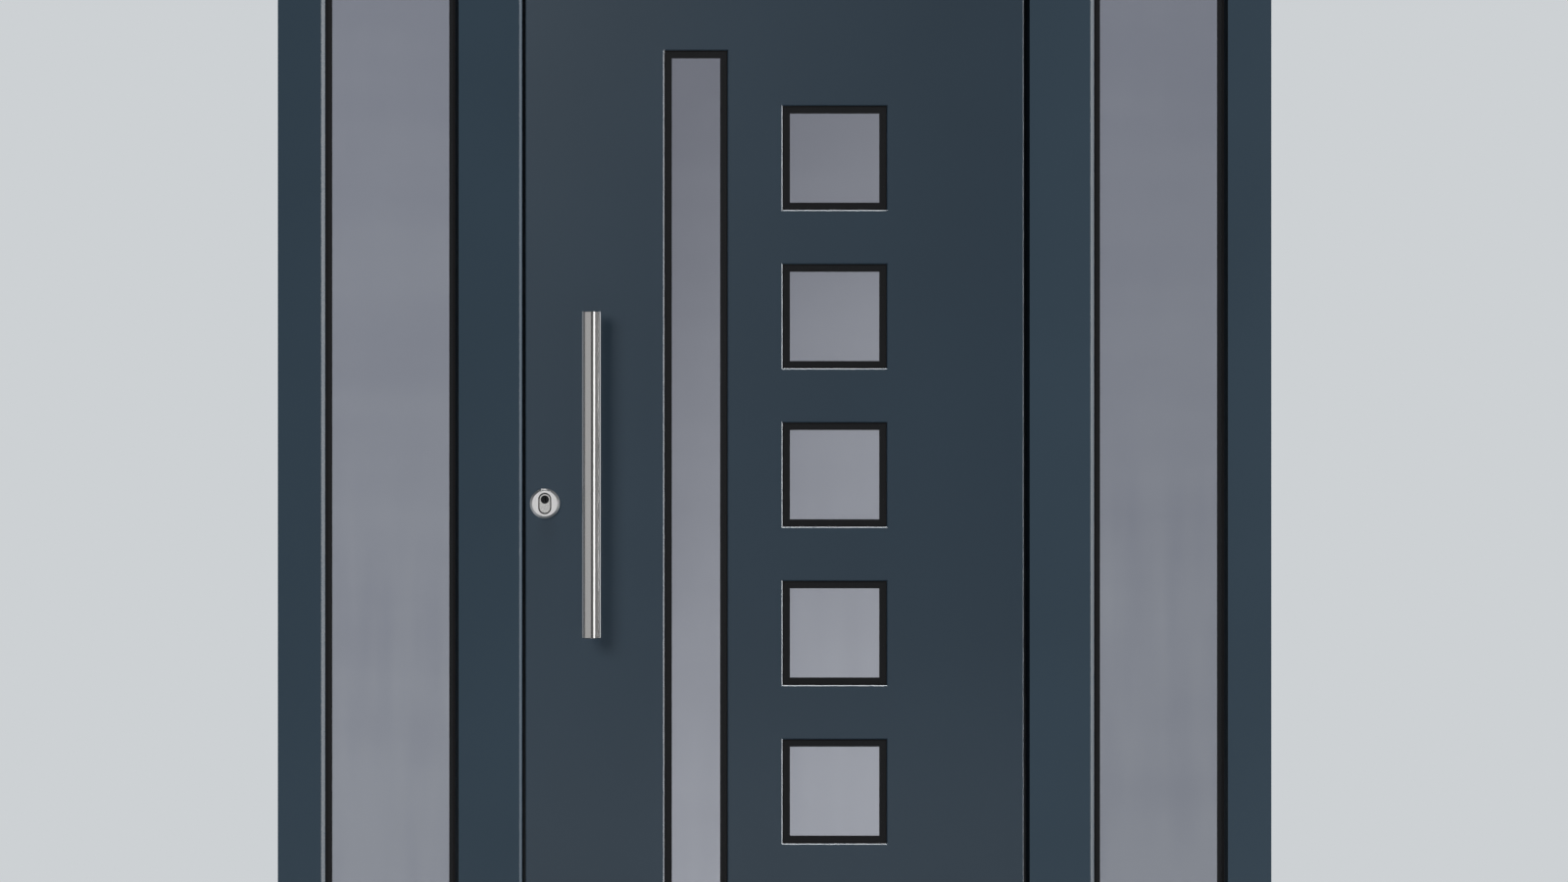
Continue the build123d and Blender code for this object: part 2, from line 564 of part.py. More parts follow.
def hinge_wing(side, low, spans):
    """A hinge wing: a plate on the inner face, and a webbed knuckle for each span of heights."""
    inner_face = FRAME_DEPTH / 2
    near = HINGE_X + side * HINGE_PLATE_START
    far = near + side * HINGE_PLATE_WIDTH
    plate_top = inner_face + HINGE_PLATE_THICKNESS
    wing = block(min(near, far), max(near, far), inner_face, plate_top, low, low + HINGE_HEIGHT)
    far_corners = wing.edges().filter_by(Axis.Y).group_by(Axis.X)[-1 if side > 0 else 0]
    wing = chamfer(far_corners, HINGE_PLATE_CORNER)
    for z0, z1 in spans:
        round_part = barrel(BARREL_DIAMETER / 2, z0, z1)
        web_end = near + side * HINGE_PLATE_THICKNESS
        web = block(
            min(HINGE_X, web_end), max(HINGE_X, web_end), HINGE_Y - HINGE_WEB / 2, HINGE_Y, z0, z1
        )
        web += block(min(near, web_end), max(near, web_end), inner_face, HINGE_Y, z0, z1)
        wing += round_part + web
    return wing


hinge_rows = {
    "upper": FLANGE_TOP - HINGE_INSET,
    "middle": flange_middle,
    "lower": FLANGE_BOTTOM + HINGE_INSET,
}
for name, middle in hinge_rows.items():
    low = middle - HINGE_HEIGHT / 2
    high = middle + HINGE_HEIGHT / 2
    leaf_low = low + knuckle + KNUCKLE_GAP
    leaf_high = high - knuckle - KNUCKLE_GAP
    frame_wing = hinge_wing(1, low, [(low, low + knuckle), (high - knuckle, high)])
    nodes[f"{name}_hinge_frame_wing"] = frame_wing + barrel(PIN_DIAMETER / 2, low, high)
    leaf_wing = hinge_wing(-1, low, [(leaf_low, leaf_high)])
    bore = barrel(PIN_DIAMETER / 2 + PIN_CLEARANCE, low, high)
    nodes[f"{name}_hinge_leaf_wing"] = leaf_wing - bore

os.makedirs("parts", exist_ok=True)
for name, shape in nodes.items():
    export_step(shape, f"parts/{name}.step")
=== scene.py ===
"""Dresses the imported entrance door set.

Every CAD piece gets a procedural finish, small fittings such as screws, caps and washers are modelled
on top, and a pale studio with a camera square-on to the outside face is set up round it.
"""

import json
import logging
import math
from dataclasses import dataclass
from enum import Enum
from typing import Callable, Iterable, Sequence

import bmesh
import bpy
from mathutils import Matrix, Vector

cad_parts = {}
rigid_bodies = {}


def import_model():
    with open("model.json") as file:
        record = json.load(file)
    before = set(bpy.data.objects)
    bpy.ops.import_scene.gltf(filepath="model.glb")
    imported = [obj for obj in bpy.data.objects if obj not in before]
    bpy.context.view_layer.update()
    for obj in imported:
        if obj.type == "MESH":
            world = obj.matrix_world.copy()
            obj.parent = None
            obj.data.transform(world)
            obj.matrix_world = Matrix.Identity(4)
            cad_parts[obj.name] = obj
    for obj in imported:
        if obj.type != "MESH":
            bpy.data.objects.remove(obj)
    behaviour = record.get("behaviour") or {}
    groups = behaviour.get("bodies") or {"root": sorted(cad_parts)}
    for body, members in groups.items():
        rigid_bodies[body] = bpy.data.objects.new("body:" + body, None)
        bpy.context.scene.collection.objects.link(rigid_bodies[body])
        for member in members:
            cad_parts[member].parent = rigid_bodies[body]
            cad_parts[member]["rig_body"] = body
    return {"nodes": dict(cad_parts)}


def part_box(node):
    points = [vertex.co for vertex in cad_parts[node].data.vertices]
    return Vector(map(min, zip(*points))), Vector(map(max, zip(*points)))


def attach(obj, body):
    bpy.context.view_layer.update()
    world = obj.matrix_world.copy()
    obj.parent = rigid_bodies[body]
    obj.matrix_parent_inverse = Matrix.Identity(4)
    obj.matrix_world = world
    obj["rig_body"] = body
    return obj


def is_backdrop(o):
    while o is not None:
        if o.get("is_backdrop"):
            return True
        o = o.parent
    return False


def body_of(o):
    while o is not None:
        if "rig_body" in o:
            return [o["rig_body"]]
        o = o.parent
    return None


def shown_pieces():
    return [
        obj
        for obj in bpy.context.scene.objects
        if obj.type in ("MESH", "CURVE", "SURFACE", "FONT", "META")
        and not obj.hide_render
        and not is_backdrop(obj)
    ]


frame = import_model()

LOG = logging.getLogger("door")
MM = 0.001

Colour = tuple[float, float, float]
Profile = Sequence[tuple[float, float]]
Piece = bpy.types.Object
Socket = bpy.types.NodeSocket

WHITE: Colour = (1.0, 1.0, 1.0)
WARM: Colour = (1.0, 0.84, 0.7)
# Most of a noise lies between these values
NOISE_CORE = (0.3, 0.7)
# A face looks up where its normal rises by more than this
FLAT = 0.9
# Points nearer than this are one, in metres
MERGE = 1e-6


class Body(Enum):
    """The CAD bodies that pieces ride on."""

    FRAME = "frame"
    LEAF = "leaf"


class Hand(Enum):
    """Left and right as seen from outside."""

    LEFT = -1
    RIGHT = 1


class Facing(Enum):
    """The way a small fitting's face points."""

    INWARD = (0.0, 1.0, 0.0)
    OUTWARD = (0.0, -1.0, 0.0)
    LEFT = (-1.0, 0.0, 0.0)
    RIGHT = (1.0, 0.0, 0.0)
    UP = (0.0, 0.0, 1.0)
    DOWN = (0.0, 0.0, -1.0)


def tone(red: int, green: int, blue: int) -> Colour:
    """Turn a screen colour into scene-linear values.

    Args:
        red: Red, 0 to 255.
        green: Green, 0 to 255.
        blue: Blue, 0 to 255.

    Returns:
        The linear colour.
    """
    def linear(value: int) -> float:
        """Undo the screen curve of one channel."""
        part = value / 255
        return part / 12.92 if part <= 0.04045 else ((part + 0.055) / 1.055) ** 2.4

    return (linear(red), linear(green), linear(blue))


def scaled(colour: Colour, factor: float) -> Colour:
    """Brighten or darken a linear colour by a factor."""
    return tuple(channel * factor for channel in colour)


class Nodes:
    """A node tree, with short calls for the nodes that materials and the world share."""

    def __init__(self, tree: bpy.types.NodeTree) -> None:
        """Take the tree to work on."""
        self.tree = tree

    def node(self, kind: str, **inputs: object) -> bpy.types.Node:
        """Add a node and set its inputs.

        Args:
            kind: The node's type name.
            inputs: Input values, with underscores for the spaces in a socket's name.

        Returns:
            The new node.
        """
        made = self.tree.nodes.new(kind)
        for key, value in inputs.items():
            made.inputs[key.replace("_", " ")].default_value = value
        return made

    def link(self, source: Socket, target: Socket) -> None:
        """Join two sockets."""
        self.tree.links.new(source, target)

    def combine(self, first: Socket, second: Socket | float, operation: str = "ADD") -> Socket:
        """Combine two values.

        Args:
            first: The first value.
            second: The second value, a socket or a number.
            operation: The Math node's operation.

        Returns:
            The result.
        """
        made = self.node("ShaderNodeMath")
        made.operation = operation
        self.link(first, made.inputs[0])
        if isinstance(second, Socket):
            self.link(second, made.inputs[1])
        else:
            made.inputs[1].default_value = second
        return made.outputs["Value"]

    def span(self, value: Socket, low: float, high: float, start: float = 0.0, stop: float = 1.0) -> Socket:
        """Map a value from one range to another.

        Args:
            value: The value to map.
            low: The result at start.
            high: The result at stop.
            start: The value where the range starts.
            stop: The value where the range stops.

        Returns:
            The mapped value.
        """
        made = self.node("ShaderNodeMapRange", From_Min=start, From_Max=stop, To_Min=low, To_Max=high)
        self.link(value, made.inputs["Value"])
        return made.outputs["Result"]


class Graph(Nodes):
    """A material's node tree round its Principled shader."""

    def __init__(self, name: str) -> None:
        """Start a material.

        Args:
            name: The material's name.
        """
        self.material = bpy.data.materials.new(name)
        self.material.use_nodes = True
        super().__init__(self.material.node_tree)
        self.shader = self.tree.nodes["Principled BSDF"]

    def feed(self, **inputs: object) -> None:
        """Set or link the shader's inputs.

        Args:
            inputs: Values or sockets, with underscores for the spaces in an input's name.
        """
        for key, value in inputs.items():
            socket = self.shader.inputs[key.replace("_", " ")]
            if isinstance(value, Socket):
                self.link(value, socket)
            else:
                socket.default_value = value

    def place(self, stretch: Sequence[float] = (1.0, 1.0, 1.0)) -> Socket:
        """Give the piece's own coordinates in metres, stretched along each axis.

        Args:
            stretch: The scale along X, Y and Z.

        Returns:
            The coordinate socket.
        """
        coords = self.node("ShaderNodeTexCoord")
        mapping = self.node("ShaderNodeMapping", Scale=stretch)
        self.link(coords.outputs["Object"], mapping.inputs["Vector"])
        return mapping.outputs["Vector"]

    def noise(self, place: Socket, scale: float, detail: float = 2.0) -> Socket:
        """Add a noise.

        Args:
            place: The coordinates.
            scale: Features per metre.
            detail: Octaves.

        Returns:
            The noise's value.
        """
        made = self.node("ShaderNodeTexNoise", Scale=scale, Detail=detail)
        self.link(place, made.inputs["Vector"])
        return made.outputs["Fac"]

    def axes(self) -> tuple[Socket, Socket]:
        """Give the place across from the middle and the height above the floor in metres."""
        parts = self.node("ShaderNodeSeparateXYZ")
        self.link(self.place(), parts.inputs["Vector"])
        return parts.outputs["X"], parts.outputs["Z"]

    def shade(self, factor: Socket, low: Colour, high: Colour) -> Socket:
        """Blend two colours by a factor.

        Args:
            factor: 0 for low, 1 for high.
            low: The first colour.
            high: The second colour.

        Returns:
            The blended colour.
        """
        mix = self.node("ShaderNodeMix")
        mix.data_type = "RGBA"
        colours = [socket for socket in mix.inputs if socket.type == "RGBA"]
        colours[0].default_value = (*low, 1.0)
        colours[1].default_value = (*high, 1.0)
        self.link(factor, mix.inputs["Factor"])
        return next(socket for socket in mix.outputs if socket.type == "RGBA")

    def bump(self, height: Socket, strength: float, depth: float) -> bpy.types.Node:
        """Dent the surface by a height.

        Args:
            height: The height, 0 to 1.
            strength: How much of the effect shows.
            depth: The depth of a full step in metres.

        Returns:
            The bump node, whose normal feeds the shader.
        """
        made = self.node("ShaderNodeBump", Strength=strength, Distance=depth)
        self.link(height, made.inputs["Height"])
        self.feed(Normal=made.outputs["Normal"])
        return made

    def soften_edges(self, bump: bpy.types.Node, radius: float) -> None:
        """Round the edges' shading by a radius under a bump.

        Args:
            bump: The bump node.
            radius: The edge radius in metres.
        """
        bevel = self.node("ShaderNodeBevel", Radius=radius)
        bevel.samples = 4
        self.link(bevel.outputs["Normal"], bump.inputs["Normal"])


@dataclass(frozen=True)
class Finish:
    """A surface finish and the record's material slot that it belongs to."""

    name: str
    slot: str

    def material(self) -> bpy.types.Material:
        """Give the finish's material, made on first use."""
        found = bpy.data.materials.get(self.name)
        if found is None:
            graph = Graph(self.name)
            self.paint(graph)
            found = graph.material
        return found

    def paint(self, graph: Graph) -> None:
        """Fill in the node tree."""
        raise NotImplementedError


@dataclass(frozen=True)
class PowderCoat(Finish):
    """Fine-textured powder coat on aluminium."""

    colour: Colour = tone(48, 63, 75)
    drift: float = 0.05
    drift_scale: float = 2.2
    peel_scale: float = 420.0
    grain_scale: float = 1900.0
    roughness: float = 0.33
    smoother: float = 0.06
    rougher: float = 0.1
    relief: float = 0.12
    relief_depth: float = 0.1 * MM
    edge: float = 0.3 * MM

    def paint(self, graph: Graph) -> None:
        """Fill in the node tree."""
        place = graph.place()
        cloud = graph.span(graph.noise(place, self.drift_scale), 0.0, 1.0, *NOISE_CORE)
        dark, light = (scaled(self.colour, 1 + drift) for drift in (-self.drift, self.drift))
        grain = graph.noise(place, self.grain_scale, detail=3.0)
        peel = graph.noise(place, self.peel_scale, detail=1.0)
        graph.feed(
            Base_Color=graph.shade(cloud, dark, light),
            Roughness=graph.span(grain, self.roughness - self.smoother, self.roughness + self.rougher),
        )
        bump = graph.bump(graph.combine(peel, grain), self.relief, self.relief_depth)
        graph.soften_edges(bump, self.edge)


@dataclass(frozen=True)
class BrushedMetal(Finish):
    """Metal with fine parallel brush lines."""

    colour: Colour = (0.62, 0.61, 0.6)
    lines: Sequence[float] = (1.0, 1.0, 0.002)
    line_scale: float = 2600.0
    line_tints: tuple[float, float] = (0.93, 1.06)
    cloud_scale: float = 14.0
    cloud_share: float = 0.12
    roughness: float = 0.26
    smoother: float = 0.05
    rougher: float = 0.07
    relief: float = 0.05
    relief_depth: float = 0.03 * MM
    edge: float = 0.4 * MM

    def paint(self, graph: Graph) -> None:
        """Fill in the node tree."""
        streak = graph.noise(graph.place(self.lines), self.line_scale, detail=3.0)
        cloud = graph.noise(graph.place(), self.cloud_scale)
        mixed = graph.combine(streak, graph.span(cloud, -self.cloud_share, self.cloud_share))
        dark, light = (scaled(self.colour, tint) for tint in self.line_tints)
        graph.feed(
            Metallic=1.0,
            Base_Color=graph.shade(streak, dark, light),
            Roughness=graph.span(mixed, self.roughness - self.smoother, self.roughness + self.rougher),
        )
        graph.soften_edges(graph.bump(streak, self.relief, self.relief_depth), self.edge)


@dataclass(frozen=True)
class SatinGlass(Finish):
    """Frosted glass that shows no shapes behind it, with a soft haze of streaks and bands in its tint.

    Its tint goes from foot to top between the heights low and high, and leans by a share a metre across.
    This gradient is painted light and reflection: the foot is lighter and the top darker, as the light
    falls.
    The haze's streaks fade over a span of heights.
    """

    # Painted light: the top and foot tints are a painted gradient of light and reflection
    top: Colour = tone(110, 113, 124)
    foot: Colour = tone(163, 166, 175)
    low: float = 0.2
    high: float = 1.85
    painted_light_lean: float = -0.78
    haze: float = 0.05
    streak_draw: Sequence[float] = (1.0, 1.0, 0.1)
    streak_scale: float = 22.0
    streak_left: float = 0.2
    streak_fade: tuple[float, float] = (0.9, 1.1)
    band_draw: Sequence[float] = (0.25, 1.0, 1.0)
    band_scale: float = 6.0
    frost_scale: float = 3200.0
    roughness: tuple[float, float] = (0.5, 0.62)
    relief: float = 0.1
    relief_depth: float = 0.05 * MM
    through: float = 0.03

    def paint(self, graph: Graph) -> None:
        """Fill in the node tree."""
        across, upward = graph.axes()
        # Painted light: the height gradient and its lean across stand in for light and reflections on the
        # glass
        rise = graph.span(upward, 0.0, 1.0, self.low, self.high)
        rise = graph.combine(rise, graph.combine(across, self.painted_light_lean, "MULTIPLY"))
        streak, band = (
            graph.span(graph.noise(graph.place(draw), scale), -1.0, 1.0, *NOISE_CORE)
            for draw, scale in ((self.streak_draw, self.streak_scale), (self.band_draw, self.band_scale))
        )
        fade = graph.span(upward, 1.0, self.streak_left, *self.streak_fade)
        streak = graph.combine(streak, fade, "MULTIPLY")
        haze = graph.combine(graph.combine(streak, band), self.haze, "MULTIPLY")
        frost = graph.noise(graph.place(), self.frost_scale)
        graph.feed(
            Base_Color=graph.shade(graph.combine(rise, haze), self.foot, self.top),
            Roughness=graph.span(frost, *self.roughness),
            Transmission_Weight=self.through,
        )
        graph.bump(frost, self.relief, self.relief_depth)


@dataclass(frozen=True)
class ClearGlass(Finish):
    """Clear float glass with the faint waviness of a large pane."""

    colour: Colour = (0.95, 0.955, 0.96)
    refraction: float = 1.45
    roughness: float = 0.015
    wave_scale: float = 1.6
    relief: float = 0.04
    relief_depth: float = 2 * MM

    def paint(self, graph: Graph) -> None:
        """Fill in the node tree."""
        graph.feed(
            Base_Color=(*self.colour, 1.0),
            Roughness=self.roughness,
            IOR=self.refraction,
            Transmission_Weight=1.0,
        )
        wave = graph.noise(graph.place(), self.wave_scale, detail=1.0)
        graph.bump(wave, self.relief, self.relief_depth)


@dataclass(frozen=True)
class Rubber(Finish):
    """Black sealing rubber with a dull bloom."""

    colour: Colour = (0.0025, 0.0025, 0.003)
    bloom_scale: float = 60.0
    bloom_core: tuple[float, float] = (0.35, 0.75)
    bloom_tint: float = 1.8
    pore_scale: float = 1500.0
    roughness: tuple[float, float] = (0.55, 0.75)
    shine: float = 0.1
    relief: float = 0.15
    relief_depth: float = 0.1 * MM

    def paint(self, graph: Graph) -> None:
        """Fill in the node tree."""
        place = graph.place()
        bloom = graph.span(graph.noise(place, self.bloom_scale, detail=3.0), 0.0, 1.0, *self.bloom_core)
        graph.feed(
            Base_Color=graph.shade(bloom, self.colour, scaled(self.colour, self.bloom_tint)),
            Roughness=graph.span(bloom, *self.roughness),
            Specular_IOR_Level=self.shine,
        )
        graph.bump(graph.noise(place, self.pore_scale), self.relief, self.relief_depth)


@dataclass(frozen=True)
class SpacerBar(Finish):
    """Dark warm-edge spacer between the panes, with fine lengthwise ribs."""

    colour: Colour = tone(23, 24, 26)
    rib_scale: float = 160.0
    rib_tints: tuple[float, float] = (0.85, 1.15)
    grain_scale: float = 500.0
    roughness: tuple[float, float] = (0.6, 0.75)
    shine: float = 0.1
    relief: float = 0.3
    relief_depth: float = 0.2 * MM

    def paint(self, graph: Graph) -> None:
        """Fill in the node tree."""
        place = graph.place()
        wave = graph.node("ShaderNodeTexWave", Scale=self.rib_scale, Distortion=0.0)
        wave.bands_direction = "Y"
        graph.link(place, wave.inputs["Vector"])
        ribs = wave.outputs["Fac"]
        dark, light = (scaled(self.colour, tint) for tint in self.rib_tints)
        graph.feed(
            Base_Color=graph.shade(ribs, dark, light),
            Roughness=graph.span(graph.noise(place, self.grain_scale), *self.roughness),
            Specular_IOR_Level=self.shine,
        )
        graph.bump(ribs, self.relief, self.relief_depth)


# Brush lines: none, or drawn out across the door
EVEN = (1.0, 1.0, 1.0)
LEVEL = (0.02, 1.0, 1.0)

FRAME_COAT = PowderCoat("frame powder coat", "frame_coat")
LEAF_COAT = PowderCoat("leaf powder coat", "leaf_coat", tone(46, 63, 77))
HINGE_COAT = PowderCoat("hinge powder coat", "hinge_metal", roughness=0.36)
CLEAR_GLASS = ClearGlass("clear outer glass", "clear_glass")
# Painted light: each glass's top and foot tints and its lean are a painted gradient of light and reflection
SIDE_GLASS = SatinGlass(
    "satin glass of the sidelights",
    "satin_glass",
    tone(122, 126, 138),
    tone(138, 142, 151),
    painted_light_lean=0.0,
    haze=0.22,
)
LEAF_GLASS = SatinGlass("satin glass of the leaf", "satin_glass")
SEAL_RUBBER = Rubber("sealing rubber", "rubber")
SPACER = SpacerBar("glass spacer", "spacer")
BAR_STEEL = BrushedMetal("brushed steel along the bar", "stainless", roughness=0.2, relief=0.015)
ROSETTE_STEEL = BrushedMetal("satin steel rosette", "stainless", (0.78, 0.77, 0.77), EVEN, roughness=0.42)
PLATE_STEEL = BrushedMetal("brushed steel plate", "stainless", lines=LEVEL, roughness=0.3)
LEVER_STEEL = BrushedMetal("brushed steel along the lever", "stainless", lines=LEVEL)
LOCK_STEEL = BrushedMetal("nickelled lock metal", "lock_steel", (0.36, 0.355, 0.35), (1.0, 1.0, 0.3))
SCREW_STEEL = BrushedMetal("screw steel", "lock_steel", (0.5, 0.5, 0.5), EVEN, roughness=0.32)
PLUG_STEEL = BrushedMetal("blackened plug", "dark_plug", (0.03, 0.03, 0.033), EVEN, roughness=0.35)
SILL_METAL = BrushedMetal("anodised threshold", "anodised", (0.5, 0.5, 0.51), LEVEL, roughness=0.34)


def middle_of(node: str) -> Vector:
    """Give the middle of a node's box."""
    low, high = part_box(node)
    return (low + high) / 2


def dress(node: str, finish: Finish) -> Piece:
    """Give a CAD node its finish.

    Args:
        node: The node's name.
        finish: The finish.

    Returns:
        The node's object.
    """
    piece = frame["nodes"][node]
    if piece.material_slots:
        for slot in piece.material_slots:
            slot.material = finish.material()
    else:
        piece.data.materials.append(finish.material())
    LOG.info("dressed %s with %s", node, finish.name)
    return piece


def glaze(node: str, finish: SatinGlass | ClearGlass) -> None:
    """Give panes their glass.

    Glass throws no glare on the lips round it, and clear glass lets light straight through.

    Args:
        node: The panes' node.
        finish: The glass.
    """
    pane = dress(node, finish)
    pane.visible_glossy = False
    pane.visible_shadow = pane.visible_diffuse = not isinstance(finish, ClearGlass)


def looks_up(centre: Vector, normal: Vector) -> bool:
    """Tell whether a face looks up, wherever its centre is."""
    return normal.z > FLAT


class Workbench:
    """Models new pieces with operators, starting from a primitive, and hands them to a body."""

    @staticmethod
    def clear() -> None:
        """Leave edit mode and deselect everything."""
        if bpy.context.object is not None and bpy.context.object.mode != "OBJECT":
            bpy.ops.object.mode_set(mode="OBJECT")
        bpy.ops.object.select_all(action="DESELECT")

    @staticmethod
    def pick(piece: Piece, test: Callable[[Vector, Vector], bool]) -> None:
        """Select the faces whose centre and normal pass a test, in edit mode.

        Args:
            piece: The piece being edited.
            test: Takes a face's centre and normal.
        """
        bpy.ops.mesh.select_mode(type="FACE")
        bpy.ops.mesh.select_all(action="DESELECT")
        mesh = bmesh.from_edit_mesh(piece.data)
        for face in mesh.faces:
            face.select_set(test(face.calc_center_median(), face.normal))
        bmesh.update_edit_mesh(piece.data)

    @staticmethod
    def pick_vertices(piece: Piece, test: Callable[[Vector], bool]) -> None:
        """Select the vertices whose place passes a test, in edit mode.

        Args:
            piece: The piece being edited.
            test: Takes a vertex's place.
        """
        bpy.ops.mesh.select_mode(type="VERT")
        bpy.ops.mesh.select_all(action="DESELECT")
        mesh = bmesh.from_edit_mesh(piece.data)
        for vertex in mesh.verts:
            vertex.select_set(test(vertex.co))
        mesh.select_flush(True)
        bmesh.update_edit_mesh(piece.data)

    @staticmethod
    def take_up(name: str) -> Piece:
        """Name the primitive that was just added, open it in edit mode and give it back."""
        piece = bpy.context.object
        piece.name = name
        bpy.ops.object.mode_set(mode="EDIT")
        return piece

    @classmethod
    def disc(cls, name: str, radius: float, depth: float, sides: int) -> Piece:
        """Start a round piece on the Z axis with its upper face at zero, in edit mode.

        Args:
            name: The piece's name.
            radius: The radius in metres.
            depth: The depth in metres.
            sides: The number of sides.

        Returns:
            The new piece.
        """
        cls.clear()
        bpy.ops.mesh.primitive_cylinder_add(
            vertices=sides, radius=radius, depth=depth, location=(0, 0, -depth / 2)
        )
        bpy.ops.object.transform_apply(location=True, rotation=True, scale=True)
        return cls.take_up(name)

    @classmethod
    def oval(cls, name: str, width: float, height: float, sides: int) -> Piece:
        """Start a flat oval with straight sides round the origin, in edit mode.

        Args:
            name: The piece's name.
            width: The size along X in metres.
            height: The size along Y in metres.
            sides: The number of sides.

        Returns:
            The new piece.
        """
        cls.clear()
        bpy.ops.mesh.primitive_circle_add(vertices=sides, radius=width / 2, fill_type="NGON")
        piece = cls.take_up(name)
        for side in (-1, 1):
            cls.pick_vertices(piece, lambda place: place.y * side > MERGE)
            bpy.ops.transform.translate(value=(0, side * (height - width) / 2, 0))
        return piece

    @classmethod
    def plate(cls, name: str, width: float, height: float) -> Piece:
        """Start a flat plate round the origin, in edit mode.

        Args:
            name: The piece's name.
            width: The size along X in metres.
            height: The size along Y in metres.

        Returns:
            The new piece.
        """
        cls.clear()
        bpy.ops.mesh.primitive_plane_add(size=1.0)
        piece = cls.take_up(name)
        bpy.ops.mesh.select_all(action="SELECT")
        bpy.ops.transform.resize(value=(width, height, 1.0))
        return piece

    @classmethod
    def raise_ring(cls, piece: Piece, band: float, rise: float, ease: float) -> None:
        """Turn a flat start into a raised ring along its rim, and leave edit mode.

        Args:
            piece: The flat piece, in edit mode.
            band: The ring's width in metres.
            rise: The ring's height in metres.
            ease: The bevel along the ring's upper edges in metres.
        """
        bpy.ops.mesh.select_mode(type="FACE")
        bpy.ops.mesh.select_all(action="SELECT")
        bpy.ops.mesh.inset(thickness=band)
        bpy.ops.mesh.delete(type="FACE")
        bpy.ops.mesh.select_all(action="SELECT")
        bpy.ops.mesh.extrude_region_move(TRANSFORM_OT_translate={"value": (0, 0, rise)})
        bpy.ops.mesh.select_all(action="SELECT")
        bpy.ops.mesh.normals_make_consistent(inside=False)
        cls.pick(piece, looks_up)
        bpy.ops.mesh.region_to_loop()
        bpy.ops.mesh.bevel(offset=ease, segments=2, affect="EDGES")
        bpy.ops.object.mode_set(mode="OBJECT")

    @classmethod
    def lathe(cls, name: str, profile: Profile, steps: int = 40) -> Piece:
        """Spin a closed profile about the Z axis.

        Args:
            name: The piece's name.
            profile: Points as (radius, height) in metres, in order round the section.
            steps: Steps round the axis.

        Returns:
            The new piece, in object mode.
        """
        cls.clear()
        bpy.ops.mesh.primitive_plane_add(size=MM)
        piece = cls.take_up(name)
        bpy.ops.mesh.select_mode(type="VERT")
        bpy.ops.mesh.select_all(action="SELECT")
        bpy.ops.mesh.merge(type="CENTER")
        points = [Vector((radius, 0.0, height)) for radius, height in profile]
        bpy.ops.transform.translate(value=points[0])
        for before, after in zip(points, points[1:]):
            bpy.ops.mesh.extrude_vertices_move(TRANSFORM_OT_translate={"value": after - before})
        bpy.ops.mesh.select_all(action="SELECT")
        bpy.ops.mesh.edge_face_add()
        bpy.ops.mesh.delete(type="ONLY_FACE")
        bpy.ops.mesh.select_all(action="SELECT")
        bpy.ops.mesh.spin(steps=steps, angle=math.tau, center=(0, 0, 0), axis=(0, 0, 1))
        bpy.ops.mesh.select_all(action="SELECT")
        bpy.ops.mesh.remove_doubles(threshold=MERGE)
        bpy.ops.mesh.normals_make_consistent(inside=False)
        bpy.ops.object.mode_set(mode="OBJECT")
        return piece

    @classmethod
    def cut(cls, piece: Piece, size: Sequence[float]) -> None:
        """Cut a block out of a piece at its origin, centred across and on the upper face.

        Args:
            piece: The piece, in object mode.
            size: The block's size along X, Y and Z in metres.
        """
        cls.clear()
        bpy.ops.mesh.primitive_cube_add(size=1.0, scale=size)
        block = bpy.context.object
        cls.clear()
        piece.select_set(True)
        bpy.context.view_layer.objects.active = piece
        tool = piece.modifiers.new("cut", "BOOLEAN")
        tool.operation = "DIFFERENCE"
        tool.object = block
        bpy.ops.object.modifier_apply(modifier=tool.name)
        bpy.data.objects.remove(block)

    @classmethod
    def copies(cls, piece: Piece, name: str, places: Iterable[Sequence[float]], facing: Facing) -> Piece:
        """Set copies of a piece made on the Z axis at places, turned to face one way, as one piece.

        Args:
            piece: The pattern, which is used up.
            name: The name of the joined piece.
            places: The points where the pattern's origin goes, in metres.
            facing: The way that the pattern's +Z points.

        Returns:
            The joined piece.
        """
        cls.clear()
        turn = Vector(facing.value).to_track_quat("Z", "Y").to_matrix().to_4x4()
        made = []
        for point in places:
            copy = piece.copy()
            copy.data = piece.data.copy()
            copy.data.transform(Matrix.Translation(Vector(point)) @ turn)
            bpy.context.scene.collection.objects.link(copy)
            made.append(copy)
        bpy.data.objects.remove(piece)
        for copy in made:
            copy.select_set(True)
        bpy.context.view_layer.objects.active = made[0]
        if len(made) > 1:
            bpy.ops.object.join()
        made[0].name = name
        return made[0]

    @classmethod
    def hand_over(cls, piece: Piece, body: Body, finish: Finish, smooth: float = 35.0) -> Piece:
        """Smooth a finished piece, give it its finish and let it ride on a body.

        Args:
            piece: The piece, in object mode.
            body: The body it rides on.
            finish: Its finish.
            smooth: The largest angle between faces that still shades smooth, in degrees.

        Returns:
            The piece.
        """
        cls.clear()
        piece.select_set(True)
        bpy.context.view_layer.objects.active = piece
        bpy.ops.object.shade_smooth_by_angle(angle=math.radians(smooth))
        piece.data.materials.clear()
        piece.data.materials.append(finish.material())
        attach(piece, body.value)
        cls.clear()
        LOG.info("made %s on %s", piece.name, body.value)
        return piece


